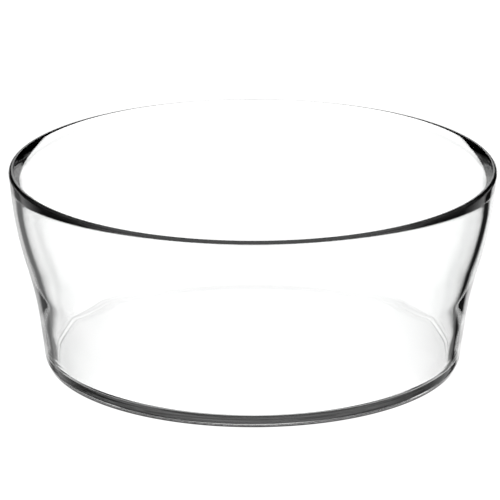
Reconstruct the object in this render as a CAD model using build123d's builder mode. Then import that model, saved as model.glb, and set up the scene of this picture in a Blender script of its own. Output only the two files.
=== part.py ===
"""A clear glass crystallizing dish: one open vessel, moulded and fire-polished in a single piece.

The side goes up nearly straight from a rounded heel, leans outward over a soft shoulder and goes up
nearly straight again to a rounded lip. The middle of the floor is a very shallow dome, so the dish
stands on a flat foot ring just inside the heel. The glass is round about +Z, and z = 0 is the surface
that the dish stands on. All lengths are in millimetres, and each is across the whole or from the axis.
"""
from build123d import *
import os

# Driving dimensions of the outside
height = 82.0               # foot ring to the top of the lip
rim_radius = 100.135        # upper side, carried up to the height of the lip
shoulder_radius = 97.7      # where the upper side meets the lean
shoulder_height = 58.4
waist_radius = 89.5         # where the lean meets the lower side
waist_height = 28.5
foot_radius = 86.0          # lower side, carried down to z = 0
heel_radius = 3.4           # rounding from the lower side into the foot ring
outer_bend_radius = 150.0   # rounding above and below the lean

# Driving dimensions of the inside
inner_shoulder_radius = 93.9
inner_shoulder_height = 58.4
inner_shoulder_bend = 130.0
inner_waist_radius = 85.4
inner_waist_height = 27.5
inner_waist_bend = 110.0
inner_foot_radius = 82.3    # lower side, carried down to the floor
inner_heel_radius = 2.0     # rounding from the side into the floor

# Driving dimensions of the lip
lip_width = 2.1             # level width of the lip before it is rounded
lip_radius = 1.25           # rounding of both its edges
flare_depth = 3.4           # the inside of the lip flares out over this height
flare_width = 2.2           # and by this much
flare_bend = 10.4           # rounding from the flare into the upper side

# Driving dimensions of the floor
floor_thickness = 4.2
foot_ring_inner_radius = 78.0
dome_height = 0.5           # how far the middle of the floor stands off the surface

# Corners of the outline on one side of the axis, each with the radius that rounds it. It starts at the
# inside of the foot ring, goes up the outside, over the lip and down the inside to the edge of the floor.
flat_floor_radius = foot_ring_inner_radius - floor_thickness
lip_inner_radius = rim_radius - lip_width
outline = [
    ((foot_ring_inner_radius, 0), 0),
    ((foot_radius, 0), heel_radius),
    ((waist_radius, waist_height), outer_bend_radius),
    ((shoulder_radius, shoulder_height), outer_bend_radius),
    ((rim_radius, height), lip_radius),
    ((lip_inner_radius, height), lip_radius),
    ((lip_inner_radius - flare_width, height - flare_depth), flare_bend),
    ((inner_shoulder_radius, inner_shoulder_height), inner_shoulder_bend),
    ((inner_waist_radius, inner_waist_height), inner_waist_bend),
    ((inner_foot_radius, floor_thickness), inner_heel_radius),
    ((flat_floor_radius, floor_thickness), 0),
]
corners = [corner for corner, radius in outline]
roundings = [radius for corner, radius in outline][1:-1]


def dome(edge_radius, edge_height):
    """Half of a shallow arc over the axis, from its edge to its middle."""
    top = edge_height + dome_height
    crown = (edge_radius ** 2 + dome_height ** 2) / (2 * dome_height)
    return RadiusArc((edge_radius, edge_height), (0, top), -crown)


with BuildPart() as dish:
    with BuildSketch(Plane.XZ):
        with BuildLine():
            underside = dome(foot_ring_inner_radius, 0)
            side = FilletPolyline(*corners, radius=roundings)
            floor = dome(flat_floor_radius, floor_thickness)
            Line(underside @ 1, floor @ 1)
        make_face()
    revolve(axis=Axis.Z)

dish.part.label = "dish"
os.makedirs("parts", exist_ok=True)
export_step(dish.part, "parts/dish.step")
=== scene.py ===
"""A clear glass crystallizing dish on a pale surface, in soft studio light.

The dish is one piece of moulded glass, so it is lathed from one outline: up the outside from the foot
ring, over the lip, and down the inside to the middle of the floor. Lengths are in metres, written as
millimetres times MM, and the widest radius and the height come from the frame.
"""
import math

import bpy
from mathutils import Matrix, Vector


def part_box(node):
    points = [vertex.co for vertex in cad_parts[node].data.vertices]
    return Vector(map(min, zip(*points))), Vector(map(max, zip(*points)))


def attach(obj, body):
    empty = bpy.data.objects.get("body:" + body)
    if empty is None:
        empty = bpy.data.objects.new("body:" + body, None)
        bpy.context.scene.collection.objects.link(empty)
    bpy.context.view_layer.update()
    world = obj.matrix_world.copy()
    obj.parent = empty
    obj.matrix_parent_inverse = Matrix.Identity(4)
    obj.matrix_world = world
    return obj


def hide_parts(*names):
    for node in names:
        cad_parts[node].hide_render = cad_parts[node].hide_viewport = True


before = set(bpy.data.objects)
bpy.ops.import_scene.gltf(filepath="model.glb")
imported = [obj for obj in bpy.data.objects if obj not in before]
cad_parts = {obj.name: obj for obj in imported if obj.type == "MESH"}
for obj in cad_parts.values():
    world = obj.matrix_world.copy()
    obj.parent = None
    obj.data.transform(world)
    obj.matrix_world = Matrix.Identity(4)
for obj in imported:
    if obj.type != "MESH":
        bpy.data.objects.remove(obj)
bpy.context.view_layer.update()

MM = 0.001
DISH_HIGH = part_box("dish")[1]

# Outside of the glass
HEIGHT = DISH_HIGH[2]
RIM_RADIUS = DISH_HIGH[0] + 0.135 * MM     # upper side, carried up to the height of the lip
SHOULDER = (97.7 * MM, 58.4 * MM)          # radius and height where the upper side meets the lean
WAIST = (89.5 * MM, 28.5 * MM)             # where the lean meets the lower side
FOOT_RADIUS = 86.0 * MM                    # lower side, carried down to the surface
HEEL_ROUNDING = 3.4 * MM
OUTER_BEND = 150 * MM

# Inside of the glass
INNER_SHOULDER = (93.9 * MM, 58.4 * MM)
INNER_SHOULDER_BEND = 130 * MM
INNER_WAIST = (85.4 * MM, 27.5 * MM)
INNER_WAIST_BEND = 110 * MM
INNER_FOOT_RADIUS = 82.3 * MM              # lower side, carried down to the floor
INNER_HEEL_ROUNDING = 2.0 * MM

# Lip, with both its edges rounded, and the flare inside it
LIP_WIDTH = 2.1 * MM
LIP_ROUNDING = 1.25 * MM
FLARE_DEPTH = 3.4 * MM
FLARE_WIDTH = 2.2 * MM
FLARE_BEND = 10.4 * MM

# Floor of the dish
FLOOR_THICKNESS = 4.2 * MM
FOOT_RING_RADIUS = 78.0 * MM
DOME_HEIGHT = 0.5 * MM

# How finely the outline is followed, and how many turns of it make the lathed surface
LONGEST_RUN = 1.6 * MM
DOME_RUN = 6 * MM
BEND_STEP = math.radians(6)
FEWEST_BEND_STEPS = 6
TURNS = 360
SHORTEST_RUN = 0.0001 * MM
MERGE_DISTANCE = 0.01 * MM


def rounded_outline(corners, longest):
    """Points along straight runs and tangent arcs.

    Each corner is a place (radius, height) and the radius that rounds it.
    """
    points = [Vector(corners[0][0])]
    for before, here, after in zip(corners, corners[1:], corners[2:]):
        corner = Vector(here[0])
        back = (Vector(before[0]) - corner).normalized()
        ahead = (Vector(after[0]) - corner).normalized()
        half_turn = (math.pi - back.angle(ahead)) / 2
        reach = here[1] * math.tan(half_turn)
        centre = corner + (back + ahead).normalized() * here[1] / math.cos(half_turn)
        start = corner + back * reach - centre
        steps = max(FEWEST_BEND_STEPS, math.ceil(2 * half_turn / BEND_STEP), math.ceil(2 * reach / longest))
        turn = start.angle_signed(corner + ahead * reach - centre)
        for step in range(steps + 1):
            angle = -turn * step / steps
            across = start.x * math.cos(angle) - start.y * math.sin(angle)
            up = start.x * math.sin(angle) + start.y * math.cos(angle)
            points.append(centre + Vector((across, up)))
    points.append(Vector(corners[-1][0]))
    return evenly_divided(points, longest)


def evenly_divided(points, longest):
    """The same line, with no run longer than longest."""
    divided = [points[0]]
    for start, end in zip(points, points[1:]):
        parts = math.ceil((end - start).length / longest)
        divided += [start.lerp(end, part / parts) for part in range(1, parts + 1)]
    return divided


def dome(edge_radius, edge_height):
    """Points over a shallow dome, from the axis out to its edge."""
    steps = math.ceil(edge_radius / DOME_RUN)
    radii = [edge_radius * step / steps for step in range(steps)]
    return [Vector((r, edge_height + DOME_HEIGHT * (1 - (r / edge_radius) ** 2))) for r in radii]


def dish_outline():
    """From the axis under the dish, up the outside, over the lip and down the inside to the axis again."""
    lip_inside = RIM_RADIUS - LIP_WIDTH
    flat_floor = FOOT_RING_RADIUS - FLOOR_THICKNESS
    side = [
        ((FOOT_RING_RADIUS, 0), 0),
        ((FOOT_RADIUS, 0), HEEL_ROUNDING),
        (WAIST, OUTER_BEND),
        (SHOULDER, OUTER_BEND),
        ((RIM_RADIUS, HEIGHT), LIP_ROUNDING),
        ((lip_inside, HEIGHT), LIP_ROUNDING),
        ((lip_inside - FLARE_WIDTH, HEIGHT - FLARE_DEPTH), FLARE_BEND),
        (INNER_SHOULDER, INNER_SHOULDER_BEND),
        (INNER_WAIST, INNER_WAIST_BEND),
        ((INNER_FOOT_RADIUS, FLOOR_THICKNESS), INNER_HEEL_ROUNDING),
        ((flat_floor, FLOOR_THICKNESS), 0),
    ]
    floor = dome(flat_floor, FLOOR_THICKNESS)
    return dome(FOOT_RING_RADIUS, 0) + rounded_outline(side, LONGEST_RUN) + floor[::-1]


def lathed(name, outline):
    """One closed surface: the outline is drawn point by point and spun once round the axis."""
    bpy.ops.object.select_all(action="DESELECT")
    first = outline[0]
    bpy.ops.mesh.primitive_plane_add(size=MM)
    piece = bpy.context.object
    piece.name = name
    bpy.ops.object.mode_set(mode="EDIT")
    bpy.ops.mesh.merge(type="CENTER")
    bpy.ops.transform.translate(value=(first.x, 0, first.y))
    for here, ahead in zip(outline, outline[1:]):
        step = ahead - here
        if step.length > SHORTEST_RUN:
            bpy.ops.mesh.extrude_region_move(TRANSFORM_OT_translate={"value": (step.x, 0, step.y)})
    bpy.ops.mesh.select_all(action="SELECT")
    bpy.ops.mesh.spin(steps=TURNS, angle=2 * math.pi, center=(0, 0, 0), axis=(0, 0, 1))
    bpy.ops.mesh.select_all(action="SELECT")
    bpy.ops.mesh.remove_doubles(threshold=MERGE_DISTANCE)
    bpy.ops.mesh.normals_make_consistent(inside=False)
    bpy.ops.object.mode_set(mode="OBJECT")
    bpy.ops.object.shade_smooth()
    return piece


class Values:
    """Arithmetic in a node tree: every method returns the socket that holds its result."""

    def __init__(self, tree):
        self.tree = tree

    def math(self, operation, *values):
        """One sum; each value is a number or a socket."""
        node = self.tree.nodes.new("ShaderNodeMath")
        node.operation = operation
        for socket, value in zip(node.inputs, values):
            if isinstance(value, (int, float)):
                socket.default_value = value
            else:
                self.tree.links.new(value, socket)
        return node.outputs[0]

    def step(self, value, middle, width):
        """0 below the middle and 1 above it, with a soft edge of this width."""
        share = self.math("DIVIDE", self.math("SUBTRACT", value, middle), width)
        node = self.tree.nodes.new("ShaderNodeClamp")
        self.tree.links.new(self.math("ADD", share, 0.5), node.inputs[0])
        return node.outputs[0]

    def rise(self, angle, degrees, softness):
        """The same for an angle, with the edge in degrees."""
        return self.step(angle, math.radians(degrees), math.radians(softness))

    def under(self, angle, degrees, softness):
        """1 below an angle and 0 above it."""
        return self.math("SUBTRACT", 1.0, self.rise(angle, degrees, softness))

    def blend(self, share, low, high):
        """The low value at a share of 0, the high one at 1."""
        kept = self.math("MULTIPLY", low, self.math("SUBTRACT", 1.0, share))
        return self.math("ADD", kept, self.math("MULTIPLY", high, share))


# Unevenness of the glass, with each pattern's waves per metre along x, y and z
GLASS_IOR = 1.5
CLEAR = (1, 1, 1, 1)
CLOUDED = (0.975, 0.982, 0.979, 1)
CLOUDS = (14, 14, 30)
CLOUD_EDGES = (0.35, 0.65)     # values of the pattern where the glass is clouded and where it is clear
DULLEST = 0.012                # roughness
DULL_PATCHES = (60, 60, 160)
CORDS = (7, 7, 750)            # fine cords that run round the heel
CORDS_END = 7 * MM             # and end at this height
CORDS_FADE = 4 * MM
CORD_DEPTH = 0.15 * MM
RIPPLES = (90, 90, 90)
RIPPLE_SHARE = 0.02            # depth of the ripple, as a share of the cords'


def noise(tree, place, scale, detail):
    """A noise pattern with its own scale along each axis."""
    stretch = tree.nodes.new("ShaderNodeMapping")
    stretch.inputs["Scale"].default_value = scale
    tree.links.new(place, stretch.inputs["Vector"])
    pattern = tree.nodes.new("ShaderNodeTexNoise")
    pattern.inputs["Scale"].default_value = 1
    pattern.inputs["Detail"].default_value = detail
    tree.links.new(stretch.outputs[0], pattern.inputs["Vector"])
    return pattern.outputs[0]


def clear_glass():
    """Colourless fire-polished glass, with the faint cloud and unevenness of a moulded surface."""
    material = bpy.data.materials.new("clear_glass")
    material.use_nodes = True
    tree = material.node_tree
    values = Values(tree)
    glass = tree.nodes["Principled BSDF"]
    glass.inputs["Transmission Weight"].default_value = 1
    glass.inputs["IOR"].default_value = GLASS_IOR
    place = tree.nodes.new("ShaderNodeTexCoord").outputs["Object"]

    cloud = noise(tree, place, CLOUDS, detail=4)
    colour = tree.nodes.new("ShaderNodeValToRGB")
    for stop, edge, shade in zip(colour.color_ramp.elements, CLOUD_EDGES, (CLOUDED, CLEAR)):
        stop.position = edge
        stop.color = shade
    tree.links.new(cloud, colour.inputs[0])
    tree.links.new(colour.outputs[0], glass.inputs["Base Color"])

    wiped = noise(tree, place, DULL_PATCHES, detail=3)
    tree.links.new(values.math("MULTIPLY", wiped, DULLEST), glass.inputs["Roughness"])

    height = tree.nodes.new("ShaderNodeSeparateXYZ")
    tree.links.new(place, height.inputs[0])
    cords = noise(tree, place, CORDS, detail=1)
    near_heel = values.math("SUBTRACT", 1.0, values.step(height.outputs[2], CORDS_END, CORDS_FADE))
    ripple = noise(tree, place, RIPPLES, detail=2)
    cords_at_heel = values.math("MULTIPLY", cords, near_heel)
    relief = values.math("ADD", cords_at_heel, values.math("MULTIPLY", ripple, RIPPLE_SHARE))
    bump = tree.nodes.new("ShaderNodeBump")
    bump.inputs["Strength"].default_value = 1
    bump.inputs["Distance"].default_value = CORD_DEPTH
    tree.links.new(relief, bump.inputs["Height"])
    tree.links.new(bump.outputs[0], glass.inputs["Normal"])
    return material


# The surface that the dish stands on
SURFACE_SIZE = 12
SURFACE_GLOW = 1.1
PAINTED_SHADOW_RADIUS = 84.9 * MM     # edge of a painted contact shadow: a thin dark line painted on the surface under the rounding of the heel
PAINTED_SHADOW_FADE = 0.8 * MM
PAINTED_SHADOW_LEVEL = 0.03


def white_surface():
    """The pale surface that the dish stands on, evenly bright but for a painted contact shadow, a dark line
    where the heel meets it.
    """
    bpy.ops.object.select_all(action="DESELECT")
    bpy.ops.mesh.primitive_plane_add(size=SURFACE_SIZE, location=(0, 0, 0))
    floor = bpy.context.object
    floor.name = "floor"
    material = bpy.data.materials.new("white_with_painted_contact_shadow")
    material.use_nodes = True
    nodes, links = material.node_tree.nodes, material.node_tree.links
    nodes.clear()
    values = Values(material.node_tree)
    place = nodes.new("ShaderNodeTexCoord")
    from_axis = nodes.new("ShaderNodeVectorMath")
    from_axis.operation = "LENGTH"
    links.new(place.outputs["Object"], from_axis.inputs[0])
    # Painted contact shadow: the glow is dark out to just under the rounding of the heel and evenly bright
    # beyond it.
    outside = values.step(from_axis.outputs["Value"], PAINTED_SHADOW_RADIUS, PAINTED_SHADOW_FADE)
    glow = nodes.new("ShaderNodeEmission")
    glow.inputs["Color"].default_value = (1, 1, 1, 1)
    links.new(values.blend(outside, PAINTED_SHADOW_LEVEL, SURFACE_GLOW), glow.inputs["Strength"])
    output = nodes.new("ShaderNodeOutputMaterial")
    links.new(glow.outputs[0], output.inputs["Surface"])
    floor.data.materials.append(material)
    floor.visible_glossy = False
    floor.visible_transmission = False
    floor.visible_diffuse = False
    floor.visible_shadow = False


# What the glass has round it. Headings are counted from straight behind the dish, to either side, and the
# heights of the edges are elevations, all in degrees, each edge with its softness. The rest is brightness.
SURROUNDINGS = 1.15            # scales all of it

# Light that comes straight through the glass. It is a little stronger from the sides.
BEHIND = 1.0
BEHIND_SIDES = 1.33
SIDES_START = (4, 6)
STRAIGHT_TOP = (12, 10)

# Light that the glass has mirrored once, up to the horizon: an opening behind the dish, a dark flag at each
# side of it, a room that is dark in its corners, and the bright front of the room.
SIDE_CHANGE = (0, 16)          # where what is on the left gives way to what is on the right
LEFT_OPENING = 0.68
RIGHT_OPENING = 0.97
OPENING_END = (23, 5)
LEFT_FLAG = 0.15
RIGHT_FLAG = 0.01
FLAG_END = (35, 4)
ROOM = 0.5
CORNER_START = (50, 20)
CORNER = 0.04
FRONT_START = (105, 30)
FRONT = 0.9

# Over the horizon there is only a narrow bright strip behind the dish.
HORIZON = (3, 6)
STRIP_END = (9, 8)
STRIP_TOP = (45, 10)

# Light that the glass has mirrored more than once is nearly spent.
DEEP_LOW = 0.07
DEEP_LOW_TOP = (-38, 12)
DEEP_LEFT = 0.02
DEEP_RIGHT = 0.01
DEEP_HIGH = 0.13
DEEP_HIGH_START = (24, 16)


def straight_light(values, from_behind, elevation):
    """Brightness of the surroundings for light that the glass hasn't mirrored."""
    level = values.blend(values.rise(from_behind, *SIDES_START), BEHIND, BEHIND_SIDES)
    return values.math("MULTIPLY", values.under(elevation, *STRAIGHT_TOP), level)


def light_mirrored_once(values, right, from_behind, elevation):
    """Opening, flags, corners and front of the room, with the strip over the horizon."""
    corner = values.blend(values.rise(from_behind, *CORNER_START), ROOM, CORNER)
    room = values.blend(values.rise(from_behind, *FRONT_START), corner, FRONT)
    flag = values.blend(right, LEFT_FLAG, RIGHT_FLAG)
    beside = values.blend(values.rise(from_behind, *FLAG_END), flag, room)
    opening = values.blend(right, LEFT_OPENING, RIGHT_OPENING)
    low = values.blend(values.rise(from_behind, *OPENING_END), opening, beside)
    strip_top = values.under(elevation, *STRIP_TOP)
    strip = values.math("MULTIPLY", strip_top, values.under(from_behind, *STRIP_END))
    return values.blend(values.rise(elevation, *HORIZON), low, strip)


def light_mirrored_again(values, right, elevation):
    """What is left after more than one reflection."""
    deep = values.blend(right, DEEP_LEFT, DEEP_RIGHT)
    low = values.blend(values.rise(elevation, *DEEP_LOW_TOP), DEEP_LOW, deep)
    return values.blend(values.rise(elevation, *DEEP_HIGH_START), low, DEEP_HIGH)


def studio():
    """Soft light all round, whose brightness depends on the direction it comes from."""
    world = bpy.data.worlds.new("studio")
    bpy.context.scene.world = world
    world.use_nodes = True
    tree = world.node_tree
    tree.nodes.clear()
    values = Values(tree)
    place = tree.nodes.new("ShaderNodeTexCoord")
    direction = tree.nodes.new("ShaderNodeSeparateXYZ")
    tree.links.new(place.outputs["Generated"], direction.inputs[0])
    path = tree.nodes.new("ShaderNodeLightPath")
    mirrored_once = values.math("GREATER_THAN", path.outputs["Glossy Depth"], 0.5)
    mirrored_again = values.math("GREATER_THAN", path.outputs["Glossy Depth"], 1.5)

    heading = values.math("ARCTAN2", direction.outputs[0], direction.outputs[1])
    elevation = values.math("ARCSINE", direction.outputs[2])
    right = values.rise(heading, *SIDE_CHANGE)
    from_behind = values.math("ABSOLUTE", heading)
    straight = straight_light(values, from_behind, elevation)
    once = light_mirrored_once(values, right, from_behind, elevation)
    again = light_mirrored_again(values, right, elevation)
    level = values.blend(mirrored_once, straight, values.blend(mirrored_again, once, again))

    background = tree.nodes.new("ShaderNodeBackground")
    background.inputs["Color"].default_value = (1, 1, 1, 1)
    output = tree.nodes.new("ShaderNodeOutputWorld")
    tree.links.new(values.math("MULTIPLY", level, SURROUNDINGS), background.inputs["Strength"])
    tree.links.new(background.outputs[0], output.inputs["Surface"])


# Where the camera stands and what it points at
EYE = Vector((0, -1396, 509)) * MM
AIM = Vector((-1.17, 0, 45.5)) * MM
LENS = 256.4                   # focal length and width of the sensor, in the camera's own millimetres
SENSOR = 36
FARTHEST = 100


# Light goes to and fro many times inside the glass
BOUNCES = 24


def camera():
    """A long lens a little above the dish."""
    bpy.ops.object.select_all(action="DESELECT")
    bpy.ops.object.camera_add(location=EYE)
    view = bpy.context.object
    view.name = "camera"
    view.rotation_euler = (AIM - EYE).to_track_quat("-Z", "Y").to_euler()
    view.data.lens = LENS
    view.data.sensor_width = SENSOR
    view.data.clip_end = FARTHEST
    bpy.context.scene.camera = view


dish = lathed("dish_glass", dish_outline())
dish.data.materials.append(clear_glass())
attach(dish, "root")
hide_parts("dish")

white_surface()
studio()
camera()

scene = bpy.context.scene
scene.view_settings.view_transform = "Standard"
scene.cycles.max_bounces = BOUNCES
scene.cycles.transmission_bounces = BOUNCES
scene.cycles.glossy_bounces = BOUNCES
